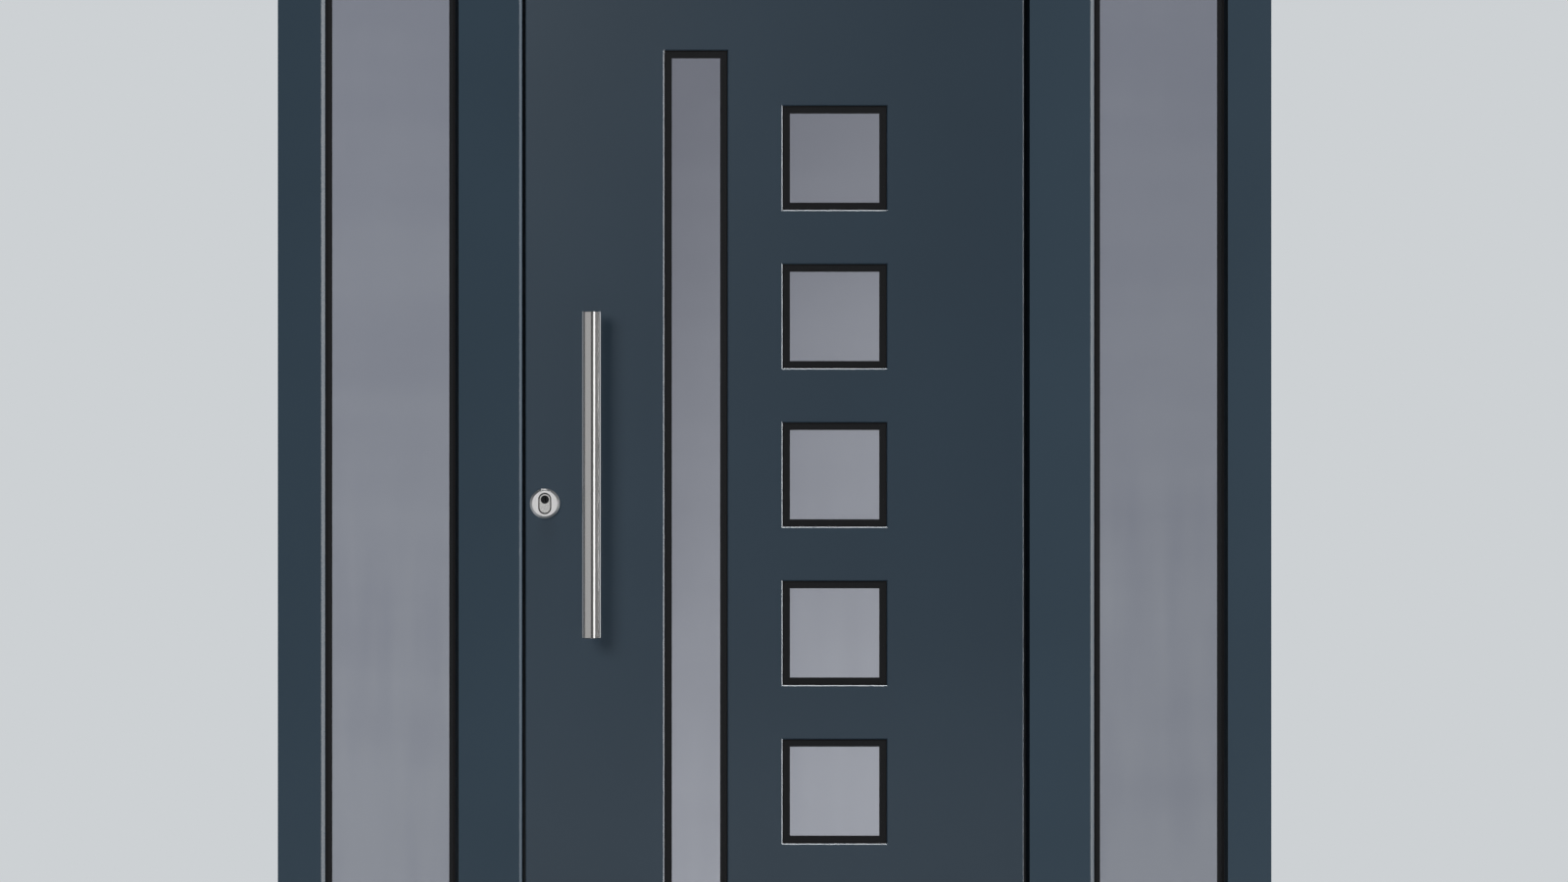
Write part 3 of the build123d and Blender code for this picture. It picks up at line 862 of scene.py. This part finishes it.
@dataclass
class Screw:
    """A countersunk screw head with a six-lobe recess.

    Rim, land, reach, core and lobe are shares of the radius, and a lobe takes a few sides of the head.
    """

    radius: float = 4.2 * MM
    depth: float = 1.0 * MM
    proud: float = 0.35 * MM
    sides: int = 24
    rim: float = 0.22
    land: float = 0.26
    reach: float = 0.53
    core: float = 0.106
    lobe: float = 0.74
    lobe_sides: int = 4

    def model(self) -> Piece:
        """Model one head on the Z axis, its seat at zero.

        Returns:
            The head, in object mode.
        """
        head = Workbench.disc("screw_head", self.radius, self.depth, self.sides)
        Workbench.pick(head, looks_up)
        bpy.ops.mesh.inset(thickness=self.radius * self.rim, depth=self.proud)
        bpy.ops.mesh.inset(thickness=self.radius * self.land)
        Workbench.pick_vertices(head, self.pulled_in)
        bpy.ops.transform.resize(value=(self.lobe, self.lobe, 1.0))
        Workbench.pick(
            head, lambda centre, normal: looks_up(centre, normal) and self.within(centre, self.core)
        )
        bpy.ops.mesh.extrude_region_move(TRANSFORM_OT_translate={"value": (0, 0, -self.depth)})
        bpy.ops.object.mode_set(mode="OBJECT")
        return head

    def within(self, place: Vector, share: float) -> bool:
        """Tell whether a place is nearer to the axis than a share of the radius."""
        return place.to_2d().length < self.radius * share

    def pulled_in(self, place: Vector) -> bool:
        """Tell whether a corner of the recess lies between two lobes."""
        step = math.tau / self.sides
        side = round(math.atan2(place.y, place.x) / step)
        return self.within(place, self.reach) and side % self.lobe_sides < self.lobe_sides / 2

    def place(self, name: str, places: Iterable[Sequence[float]], facing: Facing, body: Body) -> Piece:
        """Set heads on their seats, facing one way, as one piece that rides on a body."""
        heads = Workbench.copies(self.model(), name, places, facing)
        return Workbench.hand_over(heads, body, SCREW_STEEL)


def grub_screw(radius: float) -> Screw:
    """Give a small screw of a radius that sits nearly flush."""
    return Screw(radius=radius, proud=0.1 * MM)


@dataclass
class FrameBars:
    """Jambs, head, mullions, sill rails and seals of the fixed frame."""

    bars: Sequence[str] = (
        "left_jamb",
        "right_jamb",
        "head",
        "left_mullion",
        "right_mullion",
        "left_sill_rail",
        "right_sill_rail",
    )

    def build(self) -> None:
        """Dress the bars and the stop seals."""
        for bar in self.bars:
            dress(bar, FRAME_COAT)
        dress("frame_seal", SEAL_RUBBER)


@dataclass
class Threshold:
    """The anodised threshold and its fixing screws."""

    tread: float = 3 * MM
    screw_count: int = 5
    screw_radius: float = 5 * MM
    edge_inset: float = 120 * MM

    def build(self) -> None:
        """Dress the threshold and set its screws in the tread."""
        dress("threshold", SILL_METAL)
        low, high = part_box("threshold")
        inward = (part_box("frame_seal")[1].y + high.y) / 2
        pitch = (high.x - low.x - 2 * self.edge_inset) / (self.screw_count - 1)
        first = low.x + self.edge_inset
        places = [(first + pitch * index, inward, self.tread) for index in range(self.screw_count)]
        Screw(self.screw_radius).place("threshold_screws", places, Facing.UP, Body.FRAME)


@dataclass
class Sidelight:
    """The double glazing of one fixed sidelight."""

    hand: Hand

    def build(self) -> None:
        """Dress panes, spacer, gaskets and beads."""
        name = self.hand.name.lower()
        glaze(f"{name}_outer_pane", CLEAR_GLASS)
        glaze(f"{name}_inner_pane", SIDE_GLASS)
        dress(f"{name}_spacer", SPACER)
        dress(f"{name}_glazing_gaskets", SEAL_RUBBER)
        dress(f"{name}_glazing_beads", FRAME_COAT)


@dataclass
class Leaf:
    """Skins, stiles, rails and windows of the swinging leaf.

    Slot and square sizes are those of the cuts in the outer skin, placed across from the door's middle.
    """

    slot_x: float = -145 * MM
    slot_size: tuple[float, float] = (116.6 * MM, 1563 * MM)
    square_x: float = 110.6 * MM
    square_size: tuple[float, float] = (192 * MM, 192 * MM)
    square_pitch: float = 291.8 * MM
    square_count: int = 5
    lip_band: float = 2.6 * MM
    lip_rise: float = 1.8 * MM
    lip_ease: float = 0.4 * MM
    lip_room: float = 0.05 * MM
    coated: Sequence[str] = (
        "leaf_outer_skin",
        "leaf_inner_skin",
        "lock_stile",
        "hinge_stile",
        "top_rail",
        "bottom_rail",
        "leaf_window_liners",
    )

    def build(self) -> None:
        """Dress the leaf and its windows."""
        for node in self.coated:
            dress(node, LEAF_COAT)
        glaze("leaf_window_outer_panes", CLEAR_GLASS)
        glaze("leaf_window_inner_panes", LEAF_GLASS)
        dress("leaf_window_spacers", SPACER)
        dress("leaf_window_tapes", SEAL_RUBBER)
        middle = middle_of("leaf_outer_skin").z
        lowest = middle - (self.square_count - 1) / 2 * self.square_pitch
        heights = [lowest + index * self.square_pitch for index in range(self.square_count)]
        squares = [(self.square_x, height) for height in heights]
        self.window_lips("slot_window_lip", self.slot_size, [(self.slot_x, middle)])
        self.window_lips("square_window_lips", self.square_size, squares)

    def window_lips(self, name: str, size: Sequence[float], middles: Iterable[Sequence[float]]) -> None:
        """Lay a rubber lip on the outer pane along the cut of each window of a size.

        Args:
            name: The joined piece's name.
            size: The cut's width and height in metres.
            middles: The windows' middles across and upward in metres.
        """
        width, height = (side - 2 * self.lip_room for side in size)
        lip = Workbench.plate("window_lip", width, height)
        Workbench.raise_ring(lip, self.lip_band, self.lip_rise, self.lip_ease)
        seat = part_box("leaf_window_outer_panes")[0].y - self.lip_room
        places = [(across, seat, upward) for across, upward in middles]
        lips = Workbench.copies(lip, name, places, Facing.OUTWARD)
        Workbench.hand_over(lips, Body.LEAF, SEAL_RUBBER)


@dataclass
class PullHandle:
    """The bar pull handle and the grub screws that hold its posts."""

    post_spacing: float = 400 * MM
    post_radius: float = 10 * MM
    grub_radius: float = 2.6 * MM
    grub_depth: float = 14 * MM

    def build(self) -> None:
        """Dress the bar and its posts and set a grub screw under each post."""
        dress("pull_handle", BAR_STEEL)
        middle = middle_of("pull_handle")
        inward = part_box("pull_handle")[1].y - self.grub_depth
        seats = [middle.z + side * self.post_spacing / 2 - self.post_radius for side in (-1, 1)]
        places = [(middle.x, inward, seat) for seat in seats]
        grub_screw(self.grub_radius).place("pull_handle_grub_screws", places, Facing.DOWN, Body.LEAF)


@dataclass
class LockSet:
    """Rosette, cylinder, plug, faceplate and strike plate."""

    plate_screws: Sequence[float] = (-0.82, -0.42, -0.16, 0.2, 0.5, 0.82)
    plug_rise: float = 7.3 * MM
    plug_radius: float = 7.4 * MM
    plug_depth: float = 0.8 * MM
    plug_sides: int = 40
    plug_rim: float = 0.9 * MM
    dish_slope: float = 0.27 * MM
    dish_depth: float = 0.32 * MM
    keyway: tuple[float, float] = (2.2 * MM, 8.6 * MM)
    recess: tuple[float, float] = (23.7 * MM, 39.3 * MM)
    # Painted shade: a black ring that fills the gap round the guard, so that the gap shows dark
    shade_ring_sides: int = 48
    shade_ring_band: float = 1.9 * MM
    shade_ring_rise: float = 7.6 * MM
    shade_ring_ease: float = 0.5 * MM

    def build(self) -> None:
        """Dress the lock, set its plates' screws, model its inner plug and lay painted shade in the guard's
        gap.
        """
        dress("escutcheon", ROSETTE_STEEL)
        dress("lock_cylinder", LOCK_STEEL)
        dress("cylinder_plug", PLUG_STEEL)
        dress("lock_faceplate", BAR_STEEL)
        dress("lock_bolts", LOCK_STEEL)
        dress("strike_plate", BAR_STEEL)
        middle = middle_of("lock_faceplate")
        lock_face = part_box("lock_faceplate")[0].x
        places = [(lock_face, middle.y, middle.z + rise) for rise in self.plate_screws]
        Screw().place("lock_faceplate_screws", places, Facing.LEFT, Body.LEAF)
        strike_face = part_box("strike_plate")[1].x
        places = [(strike_face, middle.y, middle.z + rise) for rise in self.plate_screws]
        Screw().place("strike_plate_screws", places, Facing.RIGHT, Body.FRAME)
        self.inner_plug()
        self.guard_seal()

    def guard_seal(self) -> None:
        """Fill the gap between the rosette and the cylinder's guard with a black rubber ring as painted
        shade.
        """
        # Painted shade: a black ring put in the gap where the shade should fall
        seal = Workbench.oval("guard_seal", *self.recess, self.shade_ring_sides)
        Workbench.raise_ring(seal, self.shade_ring_band, self.shade_ring_rise, self.shade_ring_ease)
        middle = middle_of("escutcheon")
        place = (middle.x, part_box("escutcheon")[1].y, middle.z)
        seal = Workbench.copies(seal, "guard_seal", [place], Facing.OUTWARD)
        Workbench.hand_over(seal, Body.LEAF, SEAL_RUBBER)

    def inner_plug(self) -> None:
        """Model the plug's face on the inside: a rimmed disc with a keyway."""
        plug = Workbench.disc("inner_plug", self.plug_radius, self.plug_depth, self.plug_sides)
        Workbench.pick(plug, looks_up)
        bpy.ops.mesh.inset(thickness=self.plug_rim)
        bpy.ops.mesh.inset(thickness=self.dish_slope, depth=-self.dish_depth)
        bpy.ops.object.mode_set(mode="OBJECT")
        Workbench.cut(plug, (*self.keyway, self.plug_depth))
        middle = middle_of("lock_cylinder")
        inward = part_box("lock_cylinder")[1].y + self.plug_depth / 2
        place = (middle.x, inward, middle.z + self.plug_rise)
        plug = Workbench.copies(plug, "inner_plug", [place], Facing.INWARD)
        Workbench.hand_over(plug, Body.LEAF, LOCK_STEEL)


@dataclass
class InsideLever:
    """The lever and its long plate on the inside."""

    screw_rise: float = 104 * MM
    screw_radius: float = 3.6 * MM
    hub_radius: float = 12 * MM
    hub_middle: float = 4.5 * MM
    grub_radius: float = 2.4 * MM

    def build(self) -> None:
        """Dress lever and plate and set the plate's two screws and the hub's grub screw."""
        dress("inner_lever", LEVER_STEEL)
        dress("lever_plate", PLATE_STEEL)
        middle = middle_of("lever_plate")
        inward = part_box("lever_plate")[1].y
        places = [(middle.x, inward, middle.z + side * self.screw_rise) for side in (-1, 1)]
        Screw(self.screw_radius).place("lever_plate_screws", places, Facing.INWARD, Body.LEAF)
        low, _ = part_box("inner_lever")
        seat = (low.x + self.hub_radius, low.y + self.hub_middle, low.z)
        grub_screw(self.grub_radius).place("lever_grub_screw", [seat], Facing.DOWN, Body.LEAF)


@dataclass
class Hinge:
    """One barrel hinge on the inside: two wings, end caps, washers and screws.

    The cap's crown is given in shares of the barrel's radius and the cap's height.
    """

    row: str
    plate_thickness: float = 4 * MM
    screw_inset: float = 18 * MM
    screw_rise: float = 54 * MM
    screw_radius: float = 5 * MM
    barrel_radius: float = 11 * MM
    pin_radius: float = 6 * MM
    knuckles: int = 3
    knuckle_gap: float = 1 * MM
    washer_half: float = 0.4 * MM
    washer_room: float = 0.3 * MM
    washer_proud: float = 0.7 * MM
    cap_height: float = 3.2 * MM
    cap_crown: Profile = ((1.0, 0.35), (0.92, 0.7), (0.7, 0.95))
    socket_mouth: float = 3.12 * MM
    socket_radius: float = 2.6 * MM
    socket_lip: float = 0.128 * MM
    socket_depth: float = 1.6 * MM

    def build(self) -> None:
        """Dress the wings and model the small fittings."""
        dress(f"{self.row}_hinge_frame_wing", HINGE_COAT)
        dress(f"{self.row}_hinge_leaf_wing", HINGE_COAT)
        self.screws()
        self.caps()
        self.washers()

    def screws(self) -> None:
        """Set three screws in each plate."""
        for part, body, near_low in (("frame", Body.FRAME, False), ("leaf", Body.LEAF, True)):
            low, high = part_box(f"{self.row}_hinge_{part}_wing")
            inward = low.y + self.plate_thickness
            across = low.x + self.screw_inset if near_low else high.x - self.screw_inset
            middle = (low.z + high.z) / 2
            places = [(across, inward, middle + side * self.screw_rise) for side in (-1, 0, 1)]
            Screw(self.screw_radius).place(f"{self.row}_hinge_{part}_screws", places, Facing.INWARD, body)

    def caps(self) -> None:
        """Cap the barrel above and below."""
        low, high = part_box(f"{self.row}_hinge_frame_wing")
        radius, height = self.barrel_radius, self.cap_height
        profile = (
            (0.0, 0.0),
            (radius, 0.0),
            *((radius * across, height * upward) for across, upward in self.cap_crown),
            (self.socket_mouth, height),
            (self.socket_radius, height - self.socket_lip),
            (self.socket_radius, height - self.socket_depth),
            (0.0, height - self.socket_depth),
        )
        for facing, end in ((Facing.UP, high.z), (Facing.DOWN, low.z)):
            cap = Workbench.lathe("hinge_cap", profile)
            name = f"{self.row}_hinge_{facing.name.lower()}_cap"
            cap = Workbench.copies(cap, name, [(*self.axis(), end)], facing)
            Workbench.hand_over(cap, Body.FRAME, HINGE_COAT)

    def axis(self) -> tuple[float, float]:
        """Give the hinge line's place across and inward."""
        low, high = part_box(f"{self.row}_hinge_frame_wing")
        return (low.x + self.barrel_radius, high.y - self.barrel_radius)

    def washers(self) -> None:
        """Slip a thin bearing washer into each gap between knuckles."""
        low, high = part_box(f"{self.row}_hinge_frame_wing")
        pitch = (high.z - low.z + self.knuckle_gap) / self.knuckles
        half = self.washer_half
        inner, outer = self.pin_radius + self.washer_room, self.barrel_radius + self.washer_proud
        profile = ((inner, -half), (outer - half, -half), (outer, 0.0), (outer - half, half), (inner, half))
        washer = Workbench.lathe("hinge_washer", profile)
        first = low.z - self.knuckle_gap / 2
        places = [(*self.axis(), first + pitch * index) for index in range(1, self.knuckles)]
        washers = Workbench.copies(washer, f"{self.row}_hinge_washers", places, Facing.UP)
        Workbench.hand_over(washers, Body.FRAME, SEAL_RUBBER)


@dataclass
class Lamp:
    """A soft area lamp that faces the door and lights chosen pieces, unseen by the camera.

    Its glow is its brightness, where 1 is a white surface in full light. Where casting is given, only
    those pieces cast shadows in its light.
    """

    name: str
    place: Sequence[float]
    size: Sequence[float]
    glow: float
    lit: Sequence[Piece]
    casting: Sequence[Piece] = ()
    tint: Colour = WHITE
    aim: Sequence[float] = (0.0, -0.04, 1.05)

    def hang(self) -> None:
        """Hang the lamp and tie it to its pieces."""
        data = bpy.data.lights.new(self.name, "AREA")
        data.shape = "RECTANGLE"
        data.size, data.size_y = self.size
        data.color = self.tint
        data.energy = self.glow * math.pi * self.size[0] * self.size[1]
        lamp = bpy.data.objects.new(self.name, data)
        lamp.location = self.place
        lamp.rotation_mode = "QUATERNION"
        lamp.rotation_quaternion = (Vector(self.aim) - Vector(self.place)).to_track_quat("-Z", "Y")
        lamp.visible_camera = False
        bpy.context.scene.collection.objects.link(lamp)
        lamp.light_linking.receiver_collection = self.group("lit by", self.lit)
        if self.casting:
            lamp.light_linking.blocker_collection = self.group("casting in", self.casting)

    def group(self, role: str, pieces: Iterable[Piece]) -> bpy.types.Collection:
        """Collect the pieces that play a role for the lamp.

        Args:
            role: The role, such as lit by.
            pieces: The pieces.

        Returns:
            The collection.
        """
        made = bpy.data.collections.new(f"{role} {self.name}")
        for piece in pieces:
            made.objects.link(piece)
        return made


@dataclass
class Studio:
    """Camera, lamps, world and floor.

    The camera's frame is face_width across at the door's outside face. Ambient light and sheen go from
    their first to their second value over a turn, as directions come to point inward or to the right.
    """

    face_width: float = 2.888
    centre_x: float = 0.0173
    centre_z: float = 1.0793
    face_y: float = -0.0375
    distance: float = 15.0
    sensor: float = 36.0
    sight: float = 200.0
    backdrop: Colour = tone(205, 209, 212)
    ambient: tuple[float, float] = (0.02, 0.4)
    ambient_turn: tuple[float, float] = (-0.2, 0.5)
    sheen: tuple[float, float] = (0.04, 0.25)
    sheen_turn: tuple[float, float] = (0.15, 0.6)
    floor_radius: float = 4.5
    floor_sides: int = 96
    floor_fade: tuple[float, float] = (2.2, 4.4)
    floor_roughness: float = 0.9
    front_steel: tuple[str, ...] = ("pull_handle", "escutcheon", "lock_cylinder")
    plain_bar: str = "right_jamb"
    glazed: tuple[str, ...] = ("pane", "panes", "spacer", "spacers", "tapes", "gaskets", "lip", "lips")

    def build(self) -> None:
        """Set up everything round the object."""
        self.camera()
        self.world()
        self.floor()
        self.lamps()

    def camera(self) -> None:
        """Look square-on at the outside face, face_width across."""
        data = bpy.data.cameras.new("camera")
        data.sensor_width = self.sensor
        data.lens = self.sensor * self.distance / self.face_width
        data.clip_end = self.sight
        camera = bpy.data.objects.new("camera", data)
        camera.location = (self.centre_x, self.face_y - self.distance, self.centre_z)
        camera.rotation_euler = (math.radians(90), 0, 0)
        bpy.context.scene.collection.objects.link(camera)
        bpy.context.scene.camera = camera

    def world(self) -> None:
        """Light softly, more from behind than from the front, and show the camera a pale backdrop."""
        world = bpy.data.worlds.new("studio")
        bpy.context.scene.world = world
        world.use_nodes = True
        world.node_tree.nodes.clear()
        nodes = Nodes(world.node_tree)
        output = nodes.node("ShaderNodeOutputWorld")
        path = nodes.node("ShaderNodeLightPath")
        coords = nodes.node("ShaderNodeTexCoord")
        parts = nodes.node("ShaderNodeSeparateXYZ")
        nodes.link(coords.outputs["Generated"], parts.inputs["Vector"])
        across, inward = parts.outputs["X"], parts.outputs["Y"]
        seen = nodes.node("ShaderNodeBackground", Color=(*self.backdrop, 1.0))
        ambient = nodes.node("ShaderNodeBackground", Color=(*WHITE, 1.0))
        nodes.link(nodes.span(inward, *self.ambient, *self.ambient_turn), ambient.inputs["Strength"])
        sheen = nodes.node("ShaderNodeBackground", Color=(*WHITE, 1.0))
        nodes.link(nodes.span(across, *self.sheen, *self.sheen_turn), sheen.inputs["Strength"])
        gloss = nodes.node("ShaderNodeMixShader")
        nodes.link(path.outputs["Is Glossy Ray"], gloss.inputs["Fac"])
        nodes.link(ambient.outputs["Background"], gloss.inputs[1])
        nodes.link(sheen.outputs["Background"], gloss.inputs[2])
        final = nodes.node("ShaderNodeMixShader")
        camera_ray, through_ray = path.outputs["Is Camera Ray"], path.outputs["Is Transmission Ray"]
        nodes.link(nodes.combine(camera_ray, through_ray, "MAXIMUM"), final.inputs["Fac"])
        nodes.link(gloss.outputs["Shader"], final.inputs[1])
        nodes.link(seen.outputs["Background"], final.inputs[2])
        nodes.link(final.outputs["Shader"], output.inputs["Surface"])

    def floor(self) -> None:
        """Lay a pale round floor that fades into the backdrop at its rim."""
        Workbench.clear()
        bpy.ops.mesh.primitive_circle_add(
            vertices=self.floor_sides, radius=self.floor_radius, fill_type="NGON"
        )
        floor = bpy.context.object
        floor.name = "floor"
        graph = Graph("pale floor")
        graph.feed(Base_Color=(*self.backdrop, 1.0), Roughness=self.floor_roughness)
        clear = graph.node("ShaderNodeBsdfTransparent")
        length = graph.node("ShaderNodeVectorMath")
        length.operation = "LENGTH"
        graph.link(graph.place(), length.inputs[0])
        fade = graph.span(length.outputs["Value"], 0.0, 1.0, *self.floor_fade)
        mix = graph.node("ShaderNodeMixShader")
        graph.link(fade, mix.inputs["Fac"])
        graph.link(graph.shader.outputs["BSDF"], mix.inputs[1])
        graph.link(clear.outputs["BSDF"], mix.inputs[2])
        graph.link(mix.outputs["Shader"], graph.tree.nodes["Material Output"].inputs["Surface"])
        floor.data.materials.append(graph.material)
        floor.visible_diffuse = False
        floor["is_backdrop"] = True

    def lamps(self) -> None:
        """Hang soft keys in front, strips that graze the face, walls for the steel, and back lights."""
        floor = bpy.data.objects["floor"]
        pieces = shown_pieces()
        steel = [piece for piece in pieces if piece.name in self.front_steel]
        lock = [piece for piece in steel if piece.name != "pull_handle"]
        glazing = [piece for piece in pieces if piece.name.endswith(self.glazed)]
        coated = [piece for piece in pieces if piece not in steel and piece not in glazing]
        bars = [piece for piece in coated if body_of(piece) == [Body.FRAME.value]]
        leaf = [piece for piece in coated if piece not in bars]
        grazed = [piece for piece in bars if piece.name != self.plain_bar]
        behind = [piece for piece in (*pieces, floor) if piece not in steel]
        right_side, upright = (18.0, -0.95, 1.4), (1.9, 12.0)
        for lamp in (
            Lamp("left key", (-3.4, -7.2, 3.3), (3.0, 3.0), 7.2, [*leaf, floor]),
            Lamp("leaf fill", (37.2, -33.6, 4.0), (10.8, 10.8), 21.0, leaf, coated),
            Lamp("right key", (43.5, -25.1, 8.0), (10.8, 10.8), 124.0, bars, coated),
            Lamp("front key", (-28.0, -36.0, 3.6), (9.2, 9.2), 93.0, glazing, [floor]),
            Lamp("right strip", right_side, upright, 12.0, grazed, coated, WARM),
            Lamp("right leaf strip", right_side, upright, 44.0, leaf, coated),
            Lamp("top strip", (0.3, -0.95, 18.0), (12.0, 1.9), 64.0, leaf, coated),
            Lamp("low fill", (0.0, -2.2, 0.15), (4.0, 0.4), 0.8, leaf, coated),
            Lamp("left wall", (-4.4, -4.4, 1.2), (10.2, 5.0), 0.5, steel),
            Lamp("left return", (-4.4, 3.6, 1.2), (9.0, 5.0), 0.22, steel, [floor]),
            Lamp("right window", (3.36, -4.97, 1.2), (1.3, 5.0), 3.4, steel),
            Lamp("right return", (2.6, 4.4, 1.2), (4.0, 5.0), 0.75, steel, [floor]),
            Lamp("lock light", (-0.4, -12.0, 1.2), (5.0, 5.0), 1.3, lock),
            Lamp("back light", (4.0, 9.4, 12.0), (10.0, 10.0), 4.2, behind),
            Lamp("left back light", (-7.2, 8.8, 11.0), (10.0, 10.0), 3.4, behind),
        ):
            lamp.hang()


def main() -> None:
    """Build and dress each sub-assembly in order, then set the standard view transform."""
    logging.basicConfig(level=logging.INFO, format="%(name)s: %(message)s")
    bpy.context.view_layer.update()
    assemblies = [
        FrameBars(),
        Threshold(),
        Sidelight(Hand.LEFT),
        Sidelight(Hand.RIGHT),
        Leaf(),
        PullHandle(),
        LockSet(),
        InsideLever(),
        Hinge("upper"),
        Hinge("middle"),
        Hinge("lower"),
        Studio(),
    ]
    for assembly in assemblies:
        assembly.build()
        LOG.info("built %s", type(assembly).__name__)
    bpy.context.scene.view_settings.view_transform = "Standard"


if __name__ == "__main__":
    main()
